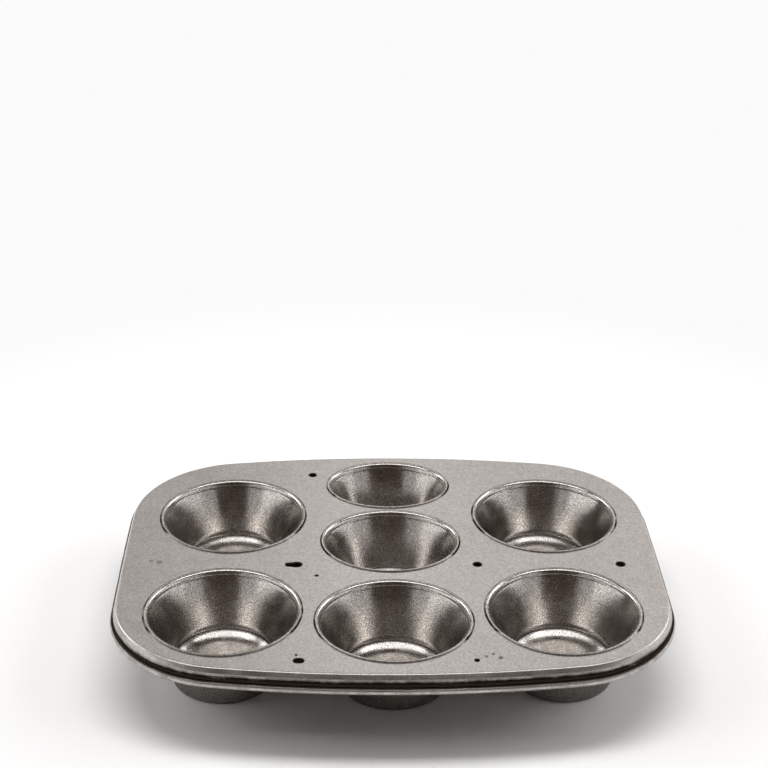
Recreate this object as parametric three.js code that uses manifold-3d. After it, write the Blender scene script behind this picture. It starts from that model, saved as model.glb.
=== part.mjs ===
// Muffin pan: a pressed steel frame with a wired edge, and seven drawn cups that are crimped into it.
// Millimetres, +Z up. The origin is on the table, under the middle of the frame.
import * as THREE from "three";
import { mergeVertices } from "three/addons/utils/BufferGeometryUtils.js";
import Module from "manifold-3d";

// Sheet and fits
const FRAME_SHEET = 0.6;
const CUP_SHEET = 0.5;
const CRIMP_CLEARANCE = 0.2;
const WIRE_CLEARANCE = 0.3;

// Cup mouths, measured inside the metal
const SIDE_MOUTH = 70;
const FRONT_MOUTH_WIDTH = 70;
const FRONT_MOUTH_DEPTH = 65;
const CENTRE_MOUTH_WIDTH = 65.4;
const CENTRE_MOUTH_DEPTH = 55.4;
const BACK_MOUTH_WIDTH = 60.2;
const BACK_MOUTH_DEPTH = 45.2;

// Cup body: the frame's top face stands at the cup's height. The wall runs through a fillet onto a sloping seat,
// the foot is a bead pressed down from that seat, and the floor is a panel raised inside the foot
const CUP_HEIGHT = 35;
const WALL_TAPER = 12;
const FLOOR_FILLET = 4;
const SEAT_RISE = 5.5;
const SEAT_SLOPE = Math.PI / 7;
const FOOT_WIDTH = 1.4;
const FOOT_DRAFT = 0.4;
const PANEL_RISE = 5.5;

// Crimped seam: a lip over the frame and a locking bead under it
const LIP_WIDTH = 2.5;
const LIP_HEIGHT = 1.1;
const LOCK_BULGE = 1.05;
const LOCK_HEIGHT = 2.2;

// Spacing between the lips, and from the lips to the skirt
const COLUMN_GAP = 5.3;
const SIDE_ROW_GAP = 14.2;
const SIDE_FORWARD = 3.8;
const FRONT_CUP_GAP = 6.7;
const BACK_CUP_GAP = 1.9;
const SIDE_MARGIN = 15;
const SIDE_END_MARGIN = 18.9;
const FRONT_MARGIN = 13.6;
const BACK_MARGIN = 6.8;

// Frame outline: bowed sides that run into round corners
const LONG_SIDE_BOW_RADIUS = 580;
const SHORT_SIDE_BOW_RADIUS = 4000;
const CORNER_RADIUS = 57;

// Wired edge: a rounded shoulder, a short skirt set in at its foot, and a curl with an open slit
const EDGE_RADIUS = 1.6;
const SKIRT_LENGTH = 1.4;
const SET_RADIUS = 0.8;
const SET_ANGLE = Math.PI / 3;
const SET_LENGTH = 0.9;
const WIRE_RADIUS = 1.1;
const CURL_GAP = 0.5;

// Small punched holes, placed from the columns and the edges
const HOLE_RADIUS = 1.75;
const SLOT_RUN = 1.5;
const HOLE_ROW_FORWARD = 3.4;
const LEFT_SLOT_OUTWARD = 7;
const RIGHT_HOLE_OUTWARD = 2.3;
const SIDE_HOLE_INSET = 19.6;
const BACK_HOLE_INSET = 20.7;
const FRONT_HOLE_INSET = 16;
const FRONT_HOLE_SHIFT = 3.7;

// Facets of each round stretch
const CUP_FACETS = 24;
const FILLET_FACETS = 3;
const LOCK_FACETS = 2;
const LIP_FACETS = 3;
const CORNER_FACETS = 9;
const HALF_LONG_SIDE_FACETS = 3;
const HALF_SHORT_SIDE_FACETS = 1;
const SHOULDER_FACETS = 3;
const SET_FACETS = 2;
const CURL_FACETS = 7;
const WIRE_FACETS = 6;
const HALF_HOLE_FACETS = 4;

// How far the swept edge laps into the flat of the frame
const EDGE_LAP = 1;

const wasm = await Module();
wasm.setup();

function arc(x, y, radiusX, radiusY, start, end, steps) {
  return new THREE.EllipseCurve(x, y, radiusX, radiusY, start, end, end < start).getPoints(steps);
}

// Both faces of a sheet that follows a midline, out along one side and back along the other
function sheetOutline(midline, thickness) {
  const outward = [];
  const homeward = [];
  const last = midline.length - 1;
  midline.forEach((point, i) => {
    const first = Math.max(i - 1, 0);
    const second = Math.min(i, last - 1);
    const arriving = midline[first + 1].clone().sub(midline[first]).normalize();
    const leaving = midline[second + 1].clone().sub(midline[second]).normalize();
    const miter = arriving.clone().add(leaving).divideScalar(1 + arriving.dot(leaving));
    const side = new THREE.Vector2(-miter.y, miter.x).multiplyScalar(thickness / 2);
    outward.push(point.clone().sub(side));
    homeward.unshift(point.clone().add(side));
  });
  return [...outward, ...homeward];
}

// One closed body with shared vertices and no empty triangles
function weld(geometry) {
  geometry.deleteAttribute("normal");
  geometry.deleteAttribute("uv");
  const merged = mergeVertices(geometry, 1e-4);
  const corners = merged.index.array;
  const kept = [];
  for (let i = 0; i < corners.length; i += 3) {
    const triangle = [...corners.slice(i, i + 3)];
    if (new Set(triangle).size === 3) {
      kept.push(...triangle);
    }
  }
  merged.setIndex(kept);
  return merged;
}

function toSolid(geometry) {
  const welded = weld(geometry);
  return new wasm.Manifold(new wasm.Mesh({
    numProp: 3,
    vertProperties: new Float32Array(welded.attributes.position.array),
    triVerts: new Uint32Array(welded.index.array),
  }));
}

function toGeometry(solid) {
  const mesh = solid.getMesh();
  const geometry = new THREE.BufferGeometry();
  geometry.setAttribute("position", new THREE.BufferAttribute(mesh.vertProperties, 3));
  geometry.setIndex(new THREE.BufferAttribute(mesh.triVerts, 1));
  return geometry;
}

// Columns: two round cups stand on each side, and three ovals share the middle
const sideLip = SIDE_MOUTH / 2 + LIP_WIDTH;
const widestMiddle = Math.max(FRONT_MOUTH_WIDTH, CENTRE_MOUTH_WIDTH, BACK_MOUTH_WIDTH) / 2 + LIP_WIDTH;
const columnPitch = sideLip + COLUMN_GAP + widestMiddle;
const halfRow = sideLip + SIDE_ROW_GAP / 2;
const halfWidth = columnPitch + sideLip + SIDE_MARGIN;

// Steps along the middle column, from the front skirt through the cups' centres to the back skirt
const middleSteps = [
  FRONT_MARGIN + LIP_WIDTH + FRONT_MOUTH_DEPTH / 2,
  (FRONT_MOUTH_DEPTH + CENTRE_MOUTH_DEPTH) / 2 + 2 * LIP_WIDTH + FRONT_CUP_GAP,
  (CENTRE_MOUTH_DEPTH + BACK_MOUTH_DEPTH) / 2 + 2 * LIP_WIDTH + BACK_CUP_GAP,
  BACK_MOUTH_DEPTH / 2 + LIP_WIDTH + BACK_MARGIN,
];
const middleReach = middleSteps.reduce((sum, step) => sum + step) / 2;
const sideReach = halfRow + sideLip + SIDE_FORWARD + SIDE_END_MARGIN;

// The longer column sets the frame's depth
const halfDepth = Math.max(middleReach, sideReach);
const frontY = middleSteps[0] - middleReach;
const centreY = frontY + middleSteps[1];
const backY = centreY + middleSteps[2];

// A round cup is as wide as deep, and an oval one is pulled wider by its spread on each side
function planCup(name, width, depth, x, y) {
  return { name, x, y, mouth: depth / 2, spread: (width - depth) / 2 };
}

const cups = [
  planCup("cup_front_left", SIDE_MOUTH, SIDE_MOUTH, -columnPitch, -SIDE_FORWARD - halfRow),
  planCup("cup_back_left", SIDE_MOUTH, SIDE_MOUTH, -columnPitch, -SIDE_FORWARD + halfRow),
  planCup("cup_front_right", SIDE_MOUTH, SIDE_MOUTH, columnPitch, -SIDE_FORWARD - halfRow),
  planCup("cup_back_right", SIDE_MOUTH, SIDE_MOUTH, columnPitch, -SIDE_FORWARD + halfRow),
  planCup("cup_front_middle", FRONT_MOUTH_WIDTH, FRONT_MOUTH_DEPTH, 0, frontY),
  planCup("cup_centre_middle", CENTRE_MOUTH_WIDTH, CENTRE_MOUTH_DEPTH, 0, centreY),
  planCup("cup_back_middle", BACK_MOUTH_WIDTH, BACK_MOUTH_DEPTH, 0, backY),
];

// Midline of a cup: floor panel, foot, seat, fillet, wall, locking bead, neck, and lip to its free edge
function cupMidline(mouth) {
  const neck = mouth + CUP_SHEET / 2;
  const foot = CUP_SHEET / 2;
  const panel = foot + PANEL_RISE;
  const seat = foot + SEAT_RISE;
  const lockTop = CUP_HEIGHT - FRAME_SHEET - CRIMP_CLEARANCE - CUP_SHEET / 2;
  const lockMiddle = lockTop - LOCK_HEIGHT / 2;
  const wallAngle = Math.atan2(lockTop - LOCK_HEIGHT - seat, WALL_TAPER);
  const filletX = neck - WALL_TAPER - FLOOR_FILLET * Math.tan(wallAngle / 2);
  const footOuter = filletX + FLOOR_FILLET * Math.sin(SEAT_SLOPE) - FOOT_DRAFT;
  const footInner = footOuter - FOOT_WIDTH;
  const lipRun = (LIP_WIDTH - CUP_SHEET) / 2;
  const lipRise = LIP_HEIGHT - CRIMP_CLEARANCE - CUP_SHEET / 2;
  const lipBase = CUP_HEIGHT + CRIMP_CLEARANCE;
  const down = -Math.PI / 2;
  const up = Math.PI / 2;
  const seatSide = down + SEAT_SLOPE;
  const wallSide = down + wallAngle;
  return [
    new THREE.Vector2(0, panel),
    new THREE.Vector2(footInner - FOOT_DRAFT, panel),
    new THREE.Vector2(footInner, foot),
    new THREE.Vector2(footOuter, foot),
    ...arc(filletX, seat + FLOOR_FILLET, FLOOR_FILLET, FLOOR_FILLET, seatSide, wallSide, FILLET_FACETS),
    ...arc(neck, lockMiddle, LOCK_BULGE, LOCK_HEIGHT / 2, down, up, LOCK_FACETS),
    ...arc(neck + lipRun, lipBase, lipRun, lipRise, Math.PI, 0, LIP_FACETS),
  ];
}

// The floor panel is stretched to its oval, and everything outside it moves out by the whole spread
function cupGeometry({ mouth, spread }) {
  const midline = cupMidline(mouth);
  const panelEdge = midline[1].x;
  const profile = sheetOutline(midline, CUP_SHEET);
  const geometry = new THREE.LatheGeometry(profile, CUP_FACETS).rotateX(Math.PI / 2);
  const position = geometry.attributes.position;
  for (let i = 0; i < position.count; i++) {
    const x = position.getX(i);
    const radius = Math.hypot(x, position.getY(i));
    position.setX(i, x * (1 + spread / Math.max(radius, panelEdge)));
  }
  return weld(geometry);
}

// Centre of the corner arc in the right back quarter: it touches both bowed sides from inside
function cornerCentre(longCentre, shortCentre) {
  const longReach = LONG_SIDE_BOW_RADIUS - CORNER_RADIUS;
  const shortReach = SHORT_SIDE_BOW_RADIUS - CORNER_RADIUS;
  const apart = shortCentre.clone().sub(longCentre);
  const along = (longReach ** 2 - shortReach ** 2 + apart.lengthSq()) / (2 * apart.length());
  const across = Math.sqrt(longReach ** 2 - along ** 2);
  const way = apart.normalize();
  const square = new THREE.Vector2(way.y, -way.x);
  return longCentre.clone().addScaledVector(way, along).addScaledVector(square, across);
}

// Stations round the frame: each lies on an arc, and neighbouring arcs meet without a kink
function frameStations() {
  const longCentre = new THREE.Vector2(0, halfDepth - LONG_SIDE_BOW_RADIUS);
  const shortCentre = new THREE.Vector2(halfWidth - SHORT_SIDE_BOW_RADIUS, 0);
  const corner = cornerCentre(longCentre, shortCentre);
  const low = corner.clone().sub(shortCentre).angle();
  const high = corner.clone().sub(longCentre).angle();
  const top = Math.PI / 2;
  const spread = (centre, radius, start, end, steps) => Array.from({ length: steps }, (_, i) => ({
    centre,
    radius,
    angle: THREE.MathUtils.lerp(start, end, i / steps),
  }));
  const quarter = [
    ...spread(shortCentre, SHORT_SIDE_BOW_RADIUS, 0, low, HALF_SHORT_SIDE_FACETS),
    ...spread(corner, CORNER_RADIUS, low, high, CORNER_FACETS),
    ...spread(longCentre, LONG_SIDE_BOW_RADIUS, high, top, HALF_LONG_SIDE_FACETS),
    { centre: longCentre, radius: LONG_SIDE_BOW_RADIUS, angle: top },
  ];
  const between = quarter.slice(1, -1).reverse();
  const mirror = (list, flipX, flipY) => list.map(({ centre, radius, angle }) => ({
    centre: new THREE.Vector2(centre.x * flipX, centre.y * flipY),
    radius,
    angle: Math.atan2(Math.sin(angle) * flipY, Math.cos(angle) * flipX),
  }));
  return [...quarter, ...mirror(between, -1, 1), ...mirror(quarter, -1, -1), ...mirror(between, 1, -1)];
}

const stations = frameStations();

function stationPoint({ centre, radius, angle }, offset) {
  return new THREE.Vector2(
    centre.x + (radius + offset) * Math.cos(angle),
    centre.y + (radius + offset) * Math.sin(angle),
  );
}

// Carries a closed section, drawn as outward offset and height, once round the frame
function sweepRound(section) {
  const geometry = new THREE.LatheGeometry(section, stations.length);
  const position = geometry.attributes.position;
  for (let i = 0; i < position.count; i++) {
    const station = stations[Math.floor(i / section.length) % stations.length];
    const { x: offset, y: height } = section[i % section.length];
    const point = stationPoint(station, offset);
    position.setXYZ(i, point.x, point.y, height);
  }
  return geometry;
}

// The skirt's foot is set in, so that the curl lies under it and passes inside the wire, then below it
const setTop = CUP_HEIGHT - EDGE_RADIUS - SKIRT_LENGTH;
const setArc = arc(-FRAME_SHEET / 2 - SET_RADIUS, setTop, SET_RADIUS, SET_RADIUS, 0, -SET_ANGLE, SET_FACETS);
const setWay = new THREE.Vector2(-Math.sin(SET_ANGLE), -Math.cos(SET_ANGLE));
const curlStart = Math.PI - SET_ANGLE;
const curlRadius = WIRE_RADIUS + WIRE_CLEARANCE + FRAME_SHEET / 2;
const curlFirst = setArc.at(-1).clone().addScaledVector(setWay, SET_LENGTH);
const wireCentre = new THREE.Vector2(
  curlFirst.x - curlRadius * Math.cos(curlStart),
  curlFirst.y - curlRadius * Math.sin(curlStart),
);

// The curl stops short of the set-in sheet by the slit
const slitAngle = Math.acos((curlRadius - FRAME_SHEET / 2 - CURL_GAP) / (curlRadius + FRAME_SHEET / 2));
const curlEnd = curlStart + 2 * Math.PI - slitAngle;

function edgeSection() {
  const shoulder = EDGE_RADIUS - FRAME_SHEET / 2;
  const midline = [
    new THREE.Vector2(-EDGE_RADIUS - EDGE_LAP, CUP_HEIGHT - FRAME_SHEET / 2),
    ...arc(-EDGE_RADIUS, CUP_HEIGHT - EDGE_RADIUS, shoulder, shoulder, Math.PI / 2, 0, SHOULDER_FACETS),
    ...setArc,
    ...arc(wireCentre.x, wireCentre.y, curlRadius, curlRadius, curlStart, curlEnd, CURL_FACETS),
  ];
  const outline = sheetOutline(midline, FRAME_SHEET);
  return [...outline, outline[0].clone()];
}

function roundHole(x, y) {
  return new THREE.Path().absarc(x, y, HOLE_RADIUS, 0, 2 * Math.PI, true);
}

function slotHole(x, y) {
  const down = -Math.PI / 2;
  return new THREE.Path()
    .absarc(x + SLOT_RUN / 2, y, HOLE_RADIUS, -down, down, true)
    .absarc(x - SLOT_RUN / 2, y, HOLE_RADIUS, down, 3 * down, true);
}

function mouthHole({ x, y, mouth, spread }) {
  const radius = mouth + CUP_SHEET + CRIMP_CLEARANCE;
  return new THREE.Path(arc(x, y, radius + spread, radius, 2 * Math.PI, 0, CUP_FACETS).slice(1));
}

function frameGeometry() {
  const halfPitch = columnPitch / 2;
  const holeRow = -SIDE_FORWARD - HOLE_ROW_FORWARD;
  const frontRow = FRONT_HOLE_INSET - halfDepth;
  const flat = new THREE.Shape(stations.map((station) => stationPoint(station, -EDGE_RADIUS)));
  flat.holes = [
    ...cups.map(mouthHole),
    slotHole(-halfPitch - LEFT_SLOT_OUTWARD, holeRow),
    roundHole(halfPitch + RIGHT_HOLE_OUTWARD, holeRow),
    roundHole(halfWidth - SIDE_HOLE_INSET, holeRow),
    roundHole(-halfPitch, halfDepth - BACK_HOLE_INSET),
    slotHole(-halfPitch - FRONT_HOLE_SHIFT, frontRow),
    roundHole(halfPitch - FRONT_HOLE_SHIFT, frontRow),
  ];
  const plate = new THREE.ExtrudeGeometry(flat, {
    depth: FRAME_SHEET,
    bevelEnabled: false,
    curveSegments: HALF_HOLE_FACETS,
  });
  plate.translate(0, 0, CUP_HEIGHT - FRAME_SHEET);
  return toGeometry(toSolid(plate).add(toSolid(sweepRound(edgeSection()))));
}

function wireGeometry() {
  const { x, y } = wireCentre;
  return weld(sweepRound(arc(x, y, WIRE_RADIUS, WIRE_RADIUS, 0, 2 * Math.PI, WIRE_FACETS)));
}

const tinnedSteel = { color: 0xaaa6a1, roughness: 0.38, metalness: 1 };
const wireSteel = { color: 0x8d8a86, roughness: 0.45, metalness: 1 };

const pan = new THREE.Group();

function addPiece(name, geometry, finish, x = 0, y = 0) {
  const mesh = new THREE.Mesh(geometry, new THREE.MeshStandardMaterial(finish));
  mesh.name = name;
  mesh.position.set(x, y, 0);
  pan.add(mesh);
}

addPiece("frame", frameGeometry(), tinnedSteel);
addPiece("rim_wire", wireGeometry(), wireSteel);
cups.forEach((cup) => addPiece(cup.name, cupGeometry(cup), tinnedSteel, cup.x, cup.y));

export default pan;
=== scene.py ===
import math

import bmesh
import bpy
from mathutils import Matrix, Vector


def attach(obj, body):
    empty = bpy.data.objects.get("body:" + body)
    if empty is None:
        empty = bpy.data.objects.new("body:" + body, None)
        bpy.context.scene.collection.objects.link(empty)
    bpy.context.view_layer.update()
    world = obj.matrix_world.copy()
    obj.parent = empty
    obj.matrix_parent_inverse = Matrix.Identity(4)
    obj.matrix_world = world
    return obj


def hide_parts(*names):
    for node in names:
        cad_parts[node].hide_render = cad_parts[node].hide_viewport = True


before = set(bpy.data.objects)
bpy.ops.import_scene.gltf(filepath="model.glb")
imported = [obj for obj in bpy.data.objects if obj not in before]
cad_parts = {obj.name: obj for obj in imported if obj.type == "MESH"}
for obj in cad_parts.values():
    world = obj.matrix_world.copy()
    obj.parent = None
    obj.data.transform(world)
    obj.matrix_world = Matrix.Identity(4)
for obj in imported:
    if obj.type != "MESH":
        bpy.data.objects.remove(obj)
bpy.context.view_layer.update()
mm = 0.001  # settings are in mm and degrees, unless they say otherwise
for spare in ("Cube", "Light", "Camera"):  # Blender's own start-up objects
    if spare in bpy.data.objects:
        bpy.data.objects.remove(bpy.data.objects[spare])
print("stage 1: frame loaded")


# Small tools for the materials

def startMaterial(name):
    material = bpy.data.materials.new(name)
    material.use_nodes = True
    tree = material.node_tree
    return material, tree, tree.nodes["Principled BSDF"]


def addNode(tree, kind, **settings):
    node = tree.nodes.new("ShaderNode" + kind)
    for key, value in settings.items():
        setattr(node, key, value)
    return node


def fillIn(node, values):
    for key, value in values.items():
        node.inputs[key].default_value = value


def plug(tree, source, socket):
    if isinstance(source, bpy.types.NodeSocket):
        tree.links.new(source, socket)
    else:
        socket.default_value = source


def reckon(tree, operation, first, second=0.0, third=0.0, clamp=False):
    node = addNode(tree, "Math", operation=operation, use_clamp=clamp)
    for source, socket in zip((first, second, third), node.inputs):
        plug(tree, source, socket)
    return node.outputs[0]


def addShare(tree, base, share, value, clamp=False):  # base + share * value
    return reckon(tree, "MULTIPLY_ADD", value, share, base, clamp)


def aboutZero(tree, value):  # noise lies about 0.5
    return reckon(tree, "SUBTRACT", value, 0.5)


def blendColours(tree, share, first, second, way="MIX"):
    node = addNode(tree, "Mix", data_type="RGBA", blend_type=way)
    for source, place in zip((share, first, second), (0, 6, 7)):  # the sockets that Mix has for colours
        plug(tree, source, node.inputs[place])
    return node.outputs[2]


def noise(tree, vector, scale, detail=2.0, rough=0.5):
    node = addNode(tree, "TexNoise")
    for source, name in ((vector, "Vector"), (scale, "Scale"), (detail, "Detail"), (rough, "Roughness")):
        plug(tree, source, node.inputs[name])
    return node.outputs["Fac"]


def spreadRange(tree, value, low, high, newLow=0.0, newHigh=1.0):
    node = addNode(tree, "MapRange")
    for source, socket in zip((value, low, high, newLow, newHigh), node.inputs):
        plug(tree, source, socket)
    return node.outputs[0]


viewpoint = {
    "place": (-25.0, -731.8, 483.2),
    "yaw": 1.594,
    "pitch": 25.747,
    "roll": 0.757,
    "lens": 80.71,
    "nearClip": 10.0,
}


def addCamera():
    yaw, pitch, roll = (math.radians(viewpoint[key]) for key in ("yaw", "pitch", "roll"))
    bpy.ops.object.camera_add()
    camera = bpy.context.object
    pose = Matrix.Translation(Vector(viewpoint["place"]) * mm)
    for angle, axis in ((-yaw, "Z"), (math.pi / 2 - pitch, "X"), (roll, "Z")):
        pose = pose @ Matrix.Rotation(angle, 4, axis)
    camera.matrix_world = pose
    camera.data.lens = viewpoint["lens"]
    camera.data.clip_start = viewpoint["nearClip"] * mm
    bpy.context.scene.camera = camera


studio = {
    "floorSize": 12.0,  # metres
    "floorDrop": 0.3,  # under the cups, so that the faces don't fight
    "floorTone": (0.95, 0.95, 0.95),
    "floorRoughness": 0.9,
    "floorShine": 0.1,
    "sweep": (0.15, 0.42),  # metres from the middle, where the floor fades into the plain backdrop
    "backdrop": 0.96,
    "roomTone": (0.056, 0.042, 0.033),
    "reach": 1.7,  # metres from the pan to every panel
    # Mirrored in the metal: bearing from the front, height above the floor, width, height, brightness
    "panels": {
        "overhead": (0, 77.5, 58, 37, 1.8),
        "leftArch": (-88, 58, 24, 19, 2.3),
        "rightArch": (88, 58, 24, 19, 2.3),
        "leftBox": (-125, 32, 36, 22, 3.0),
        "rightBox": (125, 32, 36, 22, 3.0),
        "backLeftStrip": (-165.5, 33, 29, 30, 0.53),
        "backRightStrip": (165.5, 34, 29, 32, 0.75),
        "leftFade": (-40, 13, 26, 22, 0.45),
        "rightFade": (48, 13, 30, 22, 0.48),
        "leftPanel": (-79, 13, 52, 22, 1.05),
        "rightPanel": (89, 13, 52, 22, 0.86),
    },
    "floorLamps": {  # light for the floor and the shadow on it
        "backLamp": (180, 73, 60, 16, 7.7),
        "leftLamp": (-102, 28, 46, 32, 3.6),
        "rightLamp": (98, 28, 46, 32, 3.85),
    },
}


def addPanel(name, bearing, rise, wide, high, glow):
    turn, tilt = math.radians(bearing), math.radians(rise)
    reach = studio["reach"]
    way = Vector((math.sin(turn) * math.cos(tilt), -math.cos(turn) * math.cos(tilt), math.sin(tilt)))
    bpy.ops.object.light_add(type="AREA", location=way * reach)
    panel = bpy.context.object
    panel.name = name
    panel.rotation_euler = (-way).to_track_quat("-Z", "Y").to_euler()
    panel.data.shape = "RECTANGLE"
    panel.data.size = 2 * reach * math.tan(math.radians(wide / 2))
    panel.data.size_y = 2 * reach * math.tan(math.radians(high / 2))
    panel.data.energy = glow * math.pi * panel.data.size * panel.data.size_y
    panel.visible_camera = False
    return panel


def floorPaint():  # matt near the pan, plain backdrop further out
    paint, tree, shader = startMaterial("floorPaint")
    fillIn(shader, {
        "Base Color": (*studio["floorTone"], 1),
        "Roughness": studio["floorRoughness"],
        "Specular IOR Level": studio["floorShine"],
    })
    glow = addNode(tree, "Emission")
    fillIn(glow, {"Strength": studio["backdrop"]})
    away = addNode(tree, "VectorMath", operation="LENGTH")
    plug(tree, addNode(tree, "TexCoord").outputs["Object"], away.inputs[0])
    fade = spreadRange(tree, away.outputs["Value"], *studio["sweep"])
    rays = addNode(tree, "LightPath").outputs
    seen = reckon(tree, "MAXIMUM", rays["Is Glossy Ray"], rays["Is Transmission Ray"])
    seen = reckon(tree, "MAXIMUM", rays["Is Camera Ray"], seen)
    mix = addNode(tree, "MixShader")
    plug(tree, reckon(tree, "MULTIPLY", fade, seen), mix.inputs[0])
    plug(tree, shader.outputs[0], mix.inputs[1])
    plug(tree, glow.outputs[0], mix.inputs[2])
    plug(tree, mix.outputs[0], tree.nodes["Material Output"].inputs["Surface"])
    return paint


def addStudio():
    bpy.context.scene.view_settings.view_transform = "Standard"
    world = bpy.data.worlds.new("studioRoom")
    world.use_nodes = True
    fillIn(world.node_tree.nodes["Background"], {"Color": (*studio["roomTone"], 1)})
    bpy.context.scene.world = world
    for name, panel in studio["panels"].items():
        addPanel(name, *panel).visible_diffuse = False
    for name, panel in studio["floorLamps"].items():
        addPanel(name, *panel).visible_glossy = False
    bpy.ops.mesh.primitive_plane_add(size=studio["floorSize"], location=(0, 0, -studio["floorDrop"] * mm))
    floor = bpy.context.object
    floor.name = "studioFloor"
    floor.data.materials.append(floorPaint())


bpy.ops.object.select_all(action="DESELECT")
addCamera()
addStudio()
print("stage 2: camera, light and floor")


# Tinned sheet: cloudy tin, fine grain, hairline scratches, brown grime, and painted shade in creases, seams
# and under cups

tinPattern = {
    "broad": (26.0, 4.0, 0.6),  # scale, detail and roughness of a noise
    "cloud": (140.0, 5.0, 0.62),
    "grain": (2.0, 0.55),  # detail and roughness, because each finish has its own scale
    "broadShare": 0.9,
    "grainShare": 0.9,
    "hairTurn": 0.6,  # radians
    "hairStretch": (28.0, 1900.0, 28.0),
    "hairBand": (0.66, 0.74),  # only the noise's crests are scratches
    "hairShine": 0.25,
    "hairPolish": -0.08,
    "hairDepth": -0.35,
    "grimeAndShadeBand": (0.36, 0.62, 0.2, 1.0),  # range of the cloud, and the share of grime and painted shade at its ends
    "cloudDull": 0.22,
    "grimeAndShadeDull": 0.25,
}


def makeTinGroup():
    tree = bpy.data.node_groups.new("tinFinish", "ShaderNodeTree")
    for side, kind, names in (
            ("INPUT", "Vector", ("Vector",)),
            ("INPUT", "Color", ("Tint", "Dark Tint")),
            ("INPUT", "Float", ("Grime_and_shade", "Undershade", "Roughness", "Clouds", "Grain", "Grain Scale", "Scratches")),
            ("OUTPUT", "Color", ("Color",)),
            ("OUTPUT", "Float", ("Roughness", "Height"))):
        for name in names:
            tree.interface.new_socket(name, in_out=side, socket_type="NodeSocket" + kind)
    given = tree.nodes.new("NodeGroupInput").outputs
    made = tree.nodes.new("NodeGroupOutput").inputs

    broad = noise(tree, given["Vector"], *tinPattern["broad"])
    cloud = noise(tree, given["Vector"], *tinPattern["cloud"])
    grain = noise(tree, given["Vector"], given["Grain Scale"], *tinPattern["grain"])
    turned = addNode(tree, "Mapping")
    plug(tree, given["Vector"], turned.inputs["Vector"])
    fillIn(turned, {"Rotation": (0.0, 0.0, tinPattern["hairTurn"]), "Scale": tinPattern["hairStretch"]})
    hairlines = spreadRange(tree, noise(tree, turned.outputs[0], 1.0), *tinPattern["hairBand"])
    scratches = reckon(tree, "MULTIPLY", hairlines, given["Scratches"])

    uneven = addShare(tree, aboutZero(tree, cloud), tinPattern["broadShare"], aboutZero(tree, broad))
    speckle = reckon(tree, "MULTIPLY", aboutZero(tree, grain), given["Grain"])
    shade = addShare(tree, 1.0, given["Clouds"], uneven)
    shade = addShare(tree, shade, tinPattern["grainShare"], speckle)
    shade = addShare(tree, shade, tinPattern["hairShine"], scratches)
    grey = addNode(tree, "CombineColor")
    for socket in grey.inputs:
        plug(tree, shade, socket)
    tin = blendColours(tree, 1.0, given["Tint"], grey.outputs[0], "MULTIPLY")

    settled = spreadRange(tree, cloud, *tinPattern["grimeAndShadeBand"])
    # grime, the painted shade of creases, seams and holes, and the painted shade under the cups all blend to
    # the dark tint
    darkening = reckon(tree, "MULTIPLY", given["Grime_and_shade"], settled, clamp=True)
    darkening = reckon(tree, "MAXIMUM", darkening, given["Undershade"])
    dull = addShare(tree, given["Roughness"], tinPattern["cloudDull"], uneven)
    dull = addShare(tree, dull, tinPattern["grimeAndShadeDull"], darkening)
    plug(tree, blendColours(tree, darkening, tin, given["Dark Tint"]), made["Color"])
    plug(tree, addShare(tree, dull, tinPattern["hairPolish"], scratches, clamp=True), made["Roughness"])
    plug(tree, addShare(tree, grain, tinPattern["hairDepth"], scratches), made["Height"])
    return tree


tinGroup = makeTinGroup()


def tinMaterial(name, look):
    material, tree, shader = startMaterial(name)
    fillIn(shader, {"Metallic": 1.0})
    finish = addNode(tree, "Group", node_tree=tinGroup)
    plug(tree, addNode(tree, "TexCoord").outputs["Object"], finish.inputs["Vector"])
    for key in ("Grime_and_shade", "Undershade"):
        plug(tree, addNode(tree, "Attribute", attribute_name=key.lower()).outputs["Fac"], finish.inputs[key])
    for key in ("Tint", "Dark Tint"):
        fillIn(finish, {key: (*look[key], 1)})
    for key in ("Roughness", "Clouds", "Grain", "Grain Scale", "Scratches"):
        fillIn(finish, {key: look[key]})
    bump = addNode(tree, "Bump")
    fillIn(bump, {"Strength": look["bump"], "Distance": look["depth"] * mm})
    plug(tree, finish.outputs["Height"], bump.inputs["Height"])
    plug(tree, bump.outputs["Normal"], shader.inputs["Normal"])
    plug(tree, finish.outputs["Color"], shader.inputs["Base Color"])
    plug(tree, finish.outputs["Roughness"], shader.inputs["Roughness"])
    return material


# the dark tint is the colour of grime and of painted shade
trayTin = tinMaterial("trayTin", {
    "Tint": (0.62, 0.585, 0.56), "Dark Tint": (0.03, 0.022, 0.018),
    "Roughness": 0.34, "Clouds": 0.36, "Grain": 1.2, "Grain Scale": 1300.0, "Scratches": 0.5,
    "bump": 0.5, "depth": 0.03,
})
cupTin = tinMaterial("cupTin", {
    "Tint": (0.575, 0.545, 0.515), "Dark Tint": (0.04, 0.03, 0.022),
    "Roughness": 0.22, "Clouds": 0.24, "Grain": 2.8, "Grain Scale": 1700.0, "Scratches": 0.2,
    "bump": 0.4, "depth": 0.035,
})
wireSteel = tinMaterial("wireSteel", {
    "Tint": (0.5, 0.48, 0.46), "Dark Tint": (0.06, 0.045, 0.035),
    "Roughness": 0.42, "Clouds": 0.2, "Grain": 0.2, "Grain Scale": 1800.0, "Scratches": 0.2,
    "bump": 0.4, "depth": 0.03,
})
print("stage 3: finishes")


# Small tools for the modelling

sheetWork = {
    "weld": 0.002,  # points nearer than this are one
    "mirrorWeld": 0.005,
    "sameLevel": 0.0005,  # for picking what lies in the plate
    "onLoop": 0.004,  # so far off an oval, as a share, a point still counts as on it
    "sameMark": 0.004,
    "bevelSteps": 2,
    "bevelFrom": 60.0,
    "smoothUpTo": 40.0,
}


def openShape():
    mesh = bpy.context.object.data
    return mesh, bmesh.from_edit_mesh(mesh)


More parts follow.
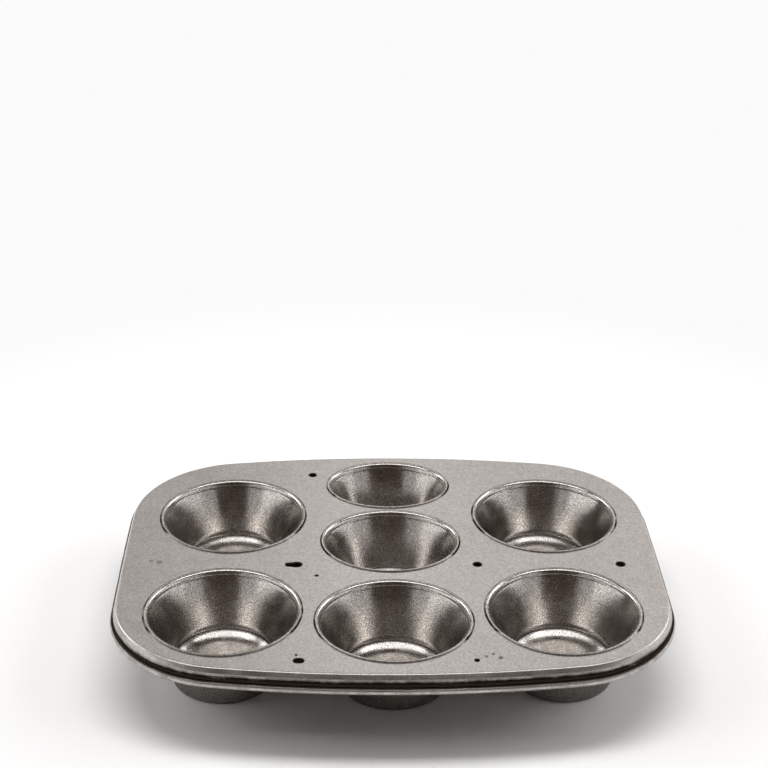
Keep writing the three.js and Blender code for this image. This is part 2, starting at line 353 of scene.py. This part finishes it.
def pick(test):
    bpy.ops.mesh.select_all(action="DESELECT")
    mesh, shape = openShape()
    for vert in shape.verts:
        vert.select_set(test(vert.co))
    shape.select_flush(True)
    bmesh.update_edit_mesh(mesh)


def onOval(x, y, wide, deep):  # a test for pick
    def test(co):
        away = (co.x / mm - x) ** 2 / wide ** 2 + (co.y / mm - y) ** 2 / deep ** 2
        return abs(away - 1) < sheetWork["onLoop"]
    return test


def smear(amount, layerName="grime_and_shade"):  # grime or painted shade, or another mark, on what is selected
    mesh, shape = openShape()
    layer = shape.verts.layers.float.get(layerName) or shape.verts.layers.float.new(layerName)
    for vert in shape.verts:
        if vert.select:
            vert[layer] = amount
    bmesh.update_edit_mesh(mesh)


def keepMarked(amount, layerName):  # of what is selected, only what has this mark
    mesh, shape = openShape()
    layer = shape.verts.layers.float[layerName]
    for vert in shape.verts:
        if abs(vert[layer] - amount) > sheetWork["sameMark"]:
            vert.select_set(False)
    shape.select_flush(False)
    bmesh.update_edit_mesh(mesh)


def pull(step):  # a step of extrusion
    bpy.ops.mesh.extrude_region_move(TRANSFORM_OT_translate={"value": tuple(part * mm for part in step)})


def spinTurn(centre, axis, degrees, steps):  # spin itself turns clockwise
    place = tuple(part * mm for part in centre)
    bpy.ops.mesh.spin(steps=steps, angle=-math.radians(degrees), center=place, axis=axis)


def openPiece(name):
    piece = bpy.context.object
    piece.name = piece.data.name = name
    bpy.ops.object.mode_set(mode="EDIT")
    bpy.ops.mesh.select_mode(type="VERT")
    return piece


def closeShell():  # one skin, the same way round all over
    bpy.ops.mesh.select_all(action="SELECT")
    bpy.ops.mesh.remove_doubles(threshold=sheetWork["weld"] * mm)
    bpy.ops.mesh.normals_make_consistent(inside=False)
    bpy.ops.object.mode_set(mode="OBJECT")


def applyModifier(kind, **settings):
    bpy.ops.object.modifier_add(type=kind)
    modifier = bpy.context.object.modifiers[-1]
    for key, value in settings.items():
        setattr(modifier, key, value)
    bpy.ops.object.modifier_apply(modifier=modifier.name)


def smoothOver():
    bpy.ops.object.shade_smooth_by_angle(angle=math.radians(sheetWork["smoothUpTo"]))


def thicken(sheet, edge):
    applyModifier("SOLIDIFY", thickness=sheet * mm, offset=0.0, use_quality_normals=True)
    applyModifier(
        "BEVEL", width=edge * mm, segments=sheetWork["bevelSteps"],
        limit_method="ANGLE", angle_limit=math.radians(sheetWork["bevelFrom"]))
    smoothOver()


def finishPiece(piece, material, node):
    piece.data.materials.clear()
    piece.data.materials.append(material)
    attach(piece, "root")
    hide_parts(node)


def roundPath(corners, step):  # corners of a section with their radii, turned in steps of so many degrees
    path = [Vector(corners[0][:2])]
    for before, (x, z, radius), after in zip(corners, corners[1:], corners[2:]):
        corner = Vector((x, z))
        comes = (corner - Vector(before[:2])).normalized()
        leaves = (Vector(after[:2]) - corner).normalized()
        turn = math.atan2(comes.cross(leaves), comes.dot(leaves))
        start = corner - comes * radius * math.tan(abs(turn) / 2)
        centre = start + Vector((-comes.y, comes.x)) * math.copysign(radius, turn)
        count = max(1, round(math.degrees(abs(turn)) / step))
        path += [centre + Matrix.Rotation(turn * i / count, 2) @ (start - centre) for i in range(count + 1)]
    path.append(Vector(corners[-1][:2]))
    return path


# Cups: drawn from sheet, each ring pulled out of the last one, from the floor to the crimped lip

cup = {
    "sheet": 0.5,
    "height": 35.0,  # up to the tray's top face
    "taper": 12.6,
    "fillet": 10.5,
    "floorRise": 5.7,
    "floorShares": (0.06, 0.3, 0.6, 0.85, 0.95),  # rings on the flat floor
    "floorGrime": 0.33,
    "foldSlopes": (46.0, 51.0),  # the fillet is folded down to the foot between these
    "foldRuns": (3.0, 4.0),  # and is straight for so many degrees before and after that
    "foldRadius": 0.28,
    "foldLean": 0.7,
    # painted shade in the fold, down to the foot and up again
    "foldShade": 0.45,
    "foldShadeStart": (0.3, 0.15),  # out from the fold's inner edge and under it, where the painted shade starts
    "neckDrop": 0.8,  # the wall reaches the neck so far under the tray's top
    "lockBulge": 0.08,
    "lock": (1.2, 2.6),  # the bead lies between these, under the tray's top
    "lipRise": 0.33,
    "lipRadius": 1.3,
    "lipWidth": 2.0,
    "lipShade": (0.2, 1.8),  # painted shade at the lip's front edge, and round the rest of it
    "nearSide": -0.5,  # the front edge ends here, as a share of the mouth
    # painted shade on the cups' outsides under the tray
    "undershade": 0.65,
    "undershadeFacing": (0.3, -0.5),  # it lies on what points outwards, or down, by more than this
    "segments": 112,
    "filletSteps": (7, 8),  # inside the fold and outside it
    "foldStep": 15.0,
    "wallSteps": 12,  # up to the bead, and again over it
    "lipStep": 7.0,
    "edge": 0.1,
}
cupPlan = {  # kind: half depth of the mouth, spread to each side
    "side": (35.0, 0.0),
    "front": (32.5, 2.5),
    "centre": (27.7, 5.0),
    "back": (22.6, 7.5),
}
cupPlaces = {  # node: kind, place
    "cup_front_left": ("side", -80.3, -48.4),
    "cup_back_left": ("side", -80.3, 40.8),
    "cup_front_right": ("side", 80.3, -48.4),
    "cup_back_right": ("side", 80.3, 40.8),
    "cup_front_middle": ("front", 0.0, -56.2),
    "cup_centre_middle": ("centre", 0.0, 15.7),
    "cup_back_middle": ("back", 0.0, 72.9),
}


def cupRings(mouth):  # half depth, height and grime of each ring, on the middle of the sheet
    half = cup["sheet"] / 2
    neck = mouth + half
    floor = cup["floorRise"] + half
    wallTop = cup["height"] - cup["neckDrop"]
    lean = math.degrees(math.atan2(wallTop - floor, cup["taper"]))
    floorEdge = neck - cup["taper"] - cup["fillet"] * math.tan(math.radians(lean / 2))
    foldStart, foldEnd = cup["foldSlopes"]
    runStart, runEnd = foldStart - cup["foldRuns"][0], foldEnd + cup["foldRuns"][1]
    stepsIn, stepsOut = cup["filletSteps"]

    def onFillet(slope):
        angle = math.radians(slope)
        return floorEdge + cup["fillet"] * math.sin(angle), floor + cup["fillet"] * (1 - math.cos(angle))

    rings = [(floorEdge * share, floor, cup["floorGrime"]) for share in cup["floorShares"]]
    for i in range(stepsIn):
        rings.append((*onFillet(runStart * i / stepsIn), cup["floorGrime"] * (1 - i / stepsIn)))

    # Down to the foot and up again
    foldIn, foldOut = onFillet(foldStart), onFillet(foldEnd)
    radius, shift = cup["foldRadius"], cup["foldLean"]
    fold = roundPath([
        onFillet(runStart), (*foldIn, radius), (foldIn[0] + shift, half, radius),
        (foldOut[0] + shift, half, radius), (*foldOut, radius), onFillet(runEnd)], cup["foldStep"])
    shadeFromEdge, shadeFromTop = cup["foldShadeStart"]
    # painted shade in the fold, coming in gradually under its inner edge
    for r, z in fold:
        grime_and_shade = cup["foldShade"]
        if r <= foldIn[0] + shadeFromEdge:
            grime_and_shade = min(grime_and_shade, max(0.0, foldIn[1] - shadeFromTop - z))
        rings.append((r, z, grime_and_shade))
    for i in range(1, stepsOut + 1):
        rings.append((*onFillet(runEnd + (lean - runEnd) * i / stepsOut), 0.0))

    # The wall, then the bead that locks it under the tray
    lowR, lowZ = onFillet(lean)
    way = Vector((neck, wallTop)) - Vector((lowR, lowZ))
    beadLow, beadHigh = ((cup["height"] - drop - lowZ) / way.y for drop in reversed(cup["lock"]))
    beadTall = beadHigh - beadLow
    count = cup["wallSteps"]
    shares = [beadLow * i / count for i in range(1, count)]
    shares += [beadLow + beadTall * i / count for i in range(count + 1)]
    for share in shares:
        bulge = cup["lockBulge"] * math.sin(math.pi * max(0.0, (share - beadLow) / beadTall)) ** 2
        rings.append((lowR + way.x * share + bulge, lowZ + way.y * share, 0.0))

    lipZ = cup["height"] + cup["lipRise"]
    lipR = neck + (lipZ - wallTop) * way.x / way.y
    lipEnd = (neck + cup["lipWidth"], lipZ, 0)
    lip = roundPath([rings[-1][:2], (lipR, lipZ, cup["lipRadius"]), lipEnd], cup["lipStep"])[1:]
    rings += [(r, z, 0.0) for r, z in lip[:-1]]
    rings.append((*lip[-1], cup["lipShade"][0]))
    return rings, floorEdge


def paintUndershade():  # painted shade: the outer skin under the tray, darkened evenly
    mesh = bpy.context.object.data
    top = cup["height"] - cup["lock"][1]
    out, down = cup["undershadeFacing"]
    for vert, mark in zip(mesh.vertices, mesh.attributes.new("undershade", "FLOAT", "POINT").data):
        outward = vert.normal.xy.dot(vert.co.xy.normalized())
        if vert.co.z < top * mm and (outward > out or vert.normal.z < down):
            mark.value = cup["undershade"]


def modelCup(kind):
    mouth, spread = cupPlan[kind]
    rings, floorEdge = cupRings(mouth)
    ovals = [(r + spread * min(1.0, r / floorEdge), r, z, grime_and_shade) for r, z, grime_and_shade in rings]
    wide, deep, height = ovals[0][:3]
    bpy.ops.object.select_all(action="DESELECT")
    bpy.ops.mesh.primitive_circle_add(vertices=cup["segments"], radius=deep * mm, fill_type="TRIFAN")
    piece = openPiece("cupSheet_" + kind)
    bpy.ops.transform.translate(value=(0, 0, height * mm))
    bpy.ops.transform.resize(value=(wide / deep, 1, 1), center_override=(0, 0, 0))
    smear(0.0)
    pick(lambda co: co.xy.length > deep * mm / 2)  # the edge and not the middle
    for nextWide, nextDeep, nextHeight, grime_and_shade in ovals[1:]:
        pull((0, 0, nextHeight - height))
        bpy.ops.transform.resize(value=(nextWide / wide, nextDeep / deep, 1), center_override=(0, 0, 0))
        smear(grime_and_shade)
        wide, deep, height = nextWide, nextDeep, nextHeight
    onLip = onOval(0, 0, wide, deep)
    # painted shade along the lip's edge, behind its front
    pick(lambda co: co.y > cup["nearSide"] * deep * mm and onLip(co))
    smear(cup["lipShade"][1])
    closeShell()
    thicken(cup["sheet"], cup["edge"])
    paintUndershade()
    return piece


def addCups():
    patterns = {kind: modelCup(kind) for kind in cupPlan}
    for node, (kind, x, y) in cupPlaces.items():
        piece = patterns[kind].copy()
        piece.data = patterns[kind].data.copy()
        piece.name = piece.data.name = node.replace("cup_", "cupSheet_")
        bpy.context.collection.objects.link(piece)
        piece.data.transform(Matrix.Translation((x * mm, y * mm, 0)))
        finishPiece(piece, cupTin, node)
    for pattern in patterns.values():
        bpy.data.objects.remove(pattern)


addCups()
print("stage 4: cups")


# Tray: one sheet with a wired edge. Its section is drawn at the right side and spun along the outline's arcs

tray = {
    "sheet": 0.6,
    "top": 35.0,
    "halfWidth": 132.8,
    "halfDepth": 104.8,
    "longBow": 580.0,
    "shortBow": 4000.0,
    "corner": 57.0,
    "skirt": (  # out from the outline, height, radius
        (-3.6, 34.7, 0.0), (-1.6, 34.695, 0.7), (-0.6, 32.9, 2.0), (-0.2, 31.4, 0.5), (-1.439, 30.788, 0.0)),
    "skirtShade": (33.6, 0.45),  # painted shade: it starts at this height and grows so much with each mm down
    "shoulder": 33.9,  # the plate's rounded edge lies above this
    "frontDraw": 0.0368,  # along the front the plate stands back by this share of the depth
    "skirtDraw": 0.87,  # the skirt's share of that
    "crease": 30.9,  # under this the skirt is painted black as shade, where it meets the curl
    "curl": (-0.629, 29.385),
    "curlTurn": 296.7,
    "curlDimReach": 1.25,  # up to so far above its middle the curl has a little painted shade, and above that it is painted black
    "curlShade": 0.45,
    "paintedBlack": 6.0,  # painted shade so dark that no metal shows
    "wireRadius": 1.1,
    "collar": 1.15,  # from a mouth to the edge of its hole in the tray
    "seamRings": (2.9, 2.35),  # from a mouth: where the painted shade at the lip ends and starts
    "seamShade": (0.3, 2.2),  # painted shade at the front of a mouth, and round the rest of it
    "seamMargin": 0.1,  # past the inner of these rings, for picking it
    "holeOuter": 3.0,
    "holeRings": (  # the punch drew the sheet down: radius, drop
        (2.6, 0.0), (2.4, 0.08), (2.27, 0.27), (2.2, 0.95), (2.1, 1.2)),
    "holeShade": 0.4,  # painted shade on the flat ring round a hole
    "slotArea": 3.2,  # round a hole, what is pulled apart to make it a slot
    "slotMiddle": 0.01,  # what lies so near its middle line stays
    "tailArea": 6.0,  # round a slot, what may be drawn out to a tail
    "tailPulls": ((1.625, 0.55), (1.9, 0.45)),  # what lies further out moves by this share of the tail
    "dentMargin": 0.5,
    "dentRings": ((0.75, 0.3), (0.6, 0.4), (0.45, 0.3)),  # share of the last ring, share of the depth
    "edge": 0.08,
    "skirtStep": 8.0,
    "curlSteps": 30,
    "longSteps": 20,
    "shortSteps": 6,
    "cornerSteps": 22,
    "holeSegments": 24,
    "dentSegments": 20,
    "wireSegments": 18,
}
trayHoles = {  # place, size, run of a slot, tail of a torn one
    "midLeft": (-46.6, -7.2, 1.0, 0.6, 3.0),
    "midRight": (42.45, -7.2, 0.95, 0.0, 0.0),
    "rightEdge": (113.2, -7.2, 1.0, 0.0, 0.0),
    "backLeft": (-40.15, 84.1, 0.9, 0.0, 0.0),
    "frontLeft": (-43.85, -88.8, 0.85, 1.2, 0.0),
    "frontRight": (36.45, -88.8, 0.55, 0.0, 0.0),
}
trayDents = {  # place, radius, depth, grime
    "leftDent": (-114.0, -4.9, 1.9, 0.2, 0.7),
    "leftTick": (-118.2, -3.8, 1.3, 0.2, 0.6),
    "middleDent": (-36.7, -17.3, 1.2, 0.25, 2.0),
    "frontTick": (-45.1, -84.4, 0.8, 0.2, 2.0),
    "frontDent": (47.4, -87.0, 1.3, 0.25, 1.4),
    "frontSpeck": (44.2, -84.0, 1.0, 0.2, 1.0),
    "frontPock": (41.0, -86.0, 1.0, 0.2, 1.2),
}
trayMiddle = tray["top"] - tray["sheet"] / 2
sectionAxis = (0, -1, 0)  # turns run from +X to +Z in the section
outlineAxis = (0, 0, 1)


def outlineArcs():  # centres of the three arcs in a quarter of the outline, with the angles that they turn
    longCentre = Vector((0, tray["halfDepth"] - tray["longBow"]))
    shortCentre = Vector((tray["halfWidth"] - tray["shortBow"], 0))
    longReach = tray["longBow"] - tray["corner"]
    shortReach = tray["shortBow"] - tray["corner"]
    apart = shortCentre - longCentre
    along = (longReach ** 2 - shortReach ** 2 + apart.length_squared) / (2 * apart.length)
    across = math.sqrt(longReach ** 2 - along ** 2)
    way = apart.normalized()
    corner = longCentre + way * along + Vector((way.y, -way.x)) * across
    low = math.degrees(math.atan2(*reversed(corner - shortCentre)))
    high = math.degrees(math.atan2(*reversed(corner - longCentre)))
    return [
        ((*shortCentre, 0), low, tray["shortSteps"]),
        ((*corner, 0), high - low, tray["cornerSteps"]),
        ((*longCentre, 0), 90 - high, tray["longSteps"]),
    ]


def runRound():  # carries what is selected along a quarter of the outline, then mirrors it
    for centre, degrees, steps in outlineArcs():
        spinTurn(centre, outlineAxis, degrees, steps)
    bpy.ops.object.mode_set(mode="OBJECT")
    applyModifier("MIRROR", use_axis=(True, True, False), merge_threshold=sheetWork["mirrorWeld"] * mm)


def drawEdgeSection():  # plate, shoulder, skirt, then the curl round the wire
    path = roundPath(tray["skirt"], tray["skirtStep"])
    shadeTop, shadeGrowth = tray["skirtShade"]
    for here, after in zip(path, path[1:]):
        pull((after.x - here.x, 0, after.y - here.y))
        # painted shade on the skirt, darker downwards, and painted black in the crease
        smear(tray["paintedBlack"] if after.y < tray["crease"] else max(0.0, shadeGrowth * (shadeTop - after.y)))
        smear(1.0 if after.y > tray["shoulder"] else tray["skirtDraw"], "plateMark")
    smear(0.0, "plateMark")
    x, z = tray["curl"]
    spinTurn((tray["halfWidth"] + x, 0, z), sectionAxis, tray["curlTurn"], tray["curlSteps"])
    # painted shade over the lower curl to dim its highlights; the upper curl keeps the crease's painted black
    pick(lambda co: co.z / mm < z + tray["curlDimReach"])
    smear(tray["curlShade"])


def drawBack():  # sets the plate and skirt back from the wired edge, along the front
    for mark in (1.0, tray["skirtDraw"]):
        pick(lambda co: co.y < 0)
        keepMarked(mark, "plateMark")
        bpy.ops.transform.resize(value=(1, 1 - mark * tray["frontDraw"], 1), center_override=(0, 0, 0))


def addLoop(x, y, wide, deep, count):
    place = (x * mm, y * mm, trayMiddle * mm)
    bpy.ops.mesh.primitive_circle_add(vertices=count, radius=deep * mm, fill_type="NOTHING", location=place)
    bpy.ops.transform.resize(value=(wide / deep, 1, 1), center_override=place)


def narrowLoop(x, y, share, drop=0.0):
    pull((0, 0, -drop))
    bpy.ops.transform.resize(value=(*share, 1), center_override=(x * mm, y * mm, 0))


def fillPlate():  # flat sheet between the edge and a loop round every mouth, hole and dent
    for kind, x, y in cupPlaces.values():
        mouth, spread = cupPlan[kind]
        radius = mouth + tray["seamRings"][0]
        addLoop(x, y, radius + spread, radius, cup["segments"])
    for x, y, size, run, tail in trayHoles.values():
        radius = size * tray["holeOuter"]
        addLoop(x, y, radius, radius, tray["holeSegments"])
    for x, y, radius, depth, grime_and_shade in trayDents.values():
        radius += tray["dentMargin"]
        addLoop(x, y, radius, radius, tray["dentSegments"])
    pick(lambda co: abs(co.z / mm - trayMiddle) < sheetWork["sameLevel"])
    bpy.ops.mesh.fill(use_beauty=True)


def cutMouth(kind, x, y):
    deep, spread = cupPlan[kind]
    wide = deep + spread
    outer, inner = tray["seamRings"]
    # painted shade on the plate round the mouth, darker behind its front
    pick(onOval(x, y, wide + outer, deep + outer))
    for start, end in ((outer, inner), (inner, tray["collar"])):
        narrowLoop(x, y, ((wide + end) / (wide + start), (deep + end) / (deep + start)))
        smear(tray["seamShade"][0])

    limit = 1 + tray["seamMargin"] / (deep + inner)

    def behindFront(co):
        spot = Vector(((co.x / mm - x) / (wide + inner), (co.y / mm - y) / (deep + inner)))
        return co.y / mm > y + cup["nearSide"] * deep and spot.length < limit

    pick(behindFront)
    smear(tray["seamShade"][1])


def stretchHole(x, y, run, tail):  # a slot, or a slot torn out to a point
    def near(co, area):
        return (co.xy / mm - Vector((x, y))).length < area

    for side in (-1, 1):
        pick(lambda co: near(co, tray["slotArea"]) and side * (co.x / mm - x) > tray["slotMiddle"])
        bpy.ops.transform.translate(value=(side * run / 2 * mm, 0, 0))
    if tail:
        for reach, share in tray["tailPulls"]:
            pick(lambda co: near(co, tray["tailArea"]) and co.x / mm < x - run / 2 - reach)
            bpy.ops.transform.translate(value=(-tail * share * mm, 0, 0))


def punchHole(x, y, size, run, tail):
    radius = tray["holeOuter"]
    pick(onOval(x, y, size * radius, size * radius))
    # painted shade on the flat ring, and painted black down the collar
    for ring, drop in tray["holeRings"]:
        narrowLoop(x, y, (ring / radius,) * 2, drop)
        smear(tray["paintedBlack"] if drop else tray["holeShade"])
        radius = ring
    if run:
        stretchHole(x, y, run, tail)


def pressDent(x, y, radius, depth, grime_and_shade):
    outer = radius + tray["dentMargin"]
    pick(onOval(x, y, outer, outer))
    narrowLoop(x, y, (radius / outer,) * 2)
    for share, fall in tray["dentRings"]:
        narrowLoop(x, y, (share, share), depth * fall)
        smear(grime_and_shade)
    bpy.ops.mesh.edge_face_add()


def modelTray():
    bpy.ops.object.select_all(action="DESELECT")
    bpy.ops.mesh.primitive_plane_add(size=mm)
    piece = openPiece("traySheet")
    bpy.ops.mesh.merge(type="CENTER")
    bpy.ops.transform.translate(value=((tray["halfWidth"] + tray["skirt"][0][0]) * mm, 0, trayMiddle * mm))
    smear(0.0)
    smear(1.0, "plateMark")
    drawEdgeSection()
    bpy.ops.mesh.select_all(action="SELECT")
    runRound()
    bpy.ops.object.mode_set(mode="EDIT")
    drawBack()
    fillPlate()
    for mouth in cupPlaces.values():
        cutMouth(*mouth)
    for hole in trayHoles.values():
        punchHole(*hole)
    for dent in trayDents.values():
        pressDent(*dent)
    closeShell()
    thicken(tray["sheet"], tray["edge"])
    finishPiece(piece, trayTin, "frame")


def modelWire():
    x, z = tray["curl"]
    bpy.ops.object.select_all(action="DESELECT")
    bpy.ops.mesh.primitive_circle_add(
        vertices=tray["wireSegments"], radius=tray["wireRadius"] * mm, fill_type="NOTHING",
        location=((tray["halfWidth"] + x) * mm, 0, z * mm), rotation=(math.pi / 2, 0, 0))
    bpy.ops.object.transform_apply(location=True, rotation=True, scale=True)
    piece = openPiece("trayWire")
    bpy.ops.mesh.select_all(action="SELECT")
    # painted black: the wire lies in shade inside the curl
    smear(tray["paintedBlack"])
    runRound()
    bpy.ops.object.mode_set(mode="EDIT")
    closeShell()
    smoothOver()
    finishPiece(piece, wireSteel, "rim_wire")


modelTray()
modelWire()
print("stage 5: tray and wire")
